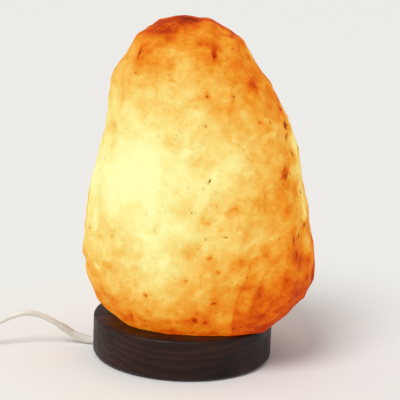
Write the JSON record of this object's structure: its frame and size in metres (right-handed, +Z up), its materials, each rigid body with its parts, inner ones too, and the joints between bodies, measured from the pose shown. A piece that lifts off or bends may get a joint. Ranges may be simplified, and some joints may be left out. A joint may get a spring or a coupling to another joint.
{
  "type": "salt crystal lamp",
  "caption": "Table lamp: a tall hewn salt crystal on a round dark wooden base, lit from inside by a small screw-cap bulb, with a pale mains cord, inline rocker switch and two-pin plug.",
  "frame": {"origin": "centre of the base, on the surface that the lamp stands on", "axes": "+X to the right as seen from the front, +Y away from the viewer, +Z up"},
  "size_m": [0.4354, 0.143, 0.245],
  "materials": {
    "salt": "hewn, waxy and translucent",
    "dark_wood": "stained and oiled",
    "felt": "felt",
    "steel": "zinc plated",
    "spring_steel": "rolled",
    "brass": "turned",
    "nickel": "nickel plated",
    "holder_plastic": "moulded",
    "anchor_plastic": "moulded",
    "bulb_glass": "clear",
    "stem_glass": "clear",
    "vitrite": "black glass",
    "tungsten": "glowing",
    "cord_sheath": "extruded",
    "sleeve_rubber": "moulded",
    "wire_brown": "extruded",
    "wire_blue": "extruded",
    "clamp_plastic": "moulded",
    "tie_plastic": "moulded",
    "switch_plastic": "moulded",
    "rocker_plastic": "moulded",
    "plug_plastic": "moulded",
    "pin_jacket": "moulded"
  },
  "bodies": {
    "lamp": {"base_pad_ring": "felt", "bulb_cap": "nickel", "bulb_contact": "nickel", "bulb_filament": "tungsten", "bulb_glass": "bulb_glass", "bulb_insulator": "vitrite", "bulb_lead_wires": "nickel", "bulb_stem": "stem_glass", "clamp_screws": "steel", "coil_tie": "tie_plastic", "cord_clamp": "clamp_plastic", "cord_coil": "cord_sheath", "cord_inner_run": "cord_sheath", "cord_lead": "cord_sheath", "cord_link": "cord_sheath", "cord_sleeve": "sleeve_rubber", "cord_tail": "cord_sheath", "crystal_screws": "steel", "crystal_wall_plugs": "anchor_plastic", "holder_centre_contact": "brass", "holder_insulator": "holder_plastic", "holder_lower_cap": "holder_plastic", "holder_nipple": "steel", "holder_nut": "steel", "holder_plate": "steel", "holder_screw_shell": "brass", "holder_sleeve": "holder_plastic", "holder_spring_clip": "spring_steel", "holder_terminals": "brass", "live_wire": "wire_brown", "neutral_wire": "wire_blue", "plug_body": "plug_plastic", "plug_pin_sleeves": "pin_jacket", "plug_pins": "nickel", "plug_strain_relief": "plug_plastic", "salt_crystal": "salt", "switch_conductors": "brass", "switch_contact_blade": "brass", "switch_contacts": "brass", "switch_cord_clamps": "clamp_plastic", "switch_lower_shell": "switch_plastic", "switch_pivot_pin": "steel", "switch_screws": "steel", "switch_upper_shell": "switch_plastic", "terminal_screws": "steel", "wooden_base": "dark_wood"},
    "rocker": {"switch_rocker": "rocker_plastic"}
  },
  "joints": [
    {"name": "switch_rocker_tilt", "type": "hinge", "parent": "lamp", "child": "rocker", "pos_m": [-0.264, 0.06, 0.0125], "axis": [0, 1, 0], "range_deg": [0, 16]}
  ]
}
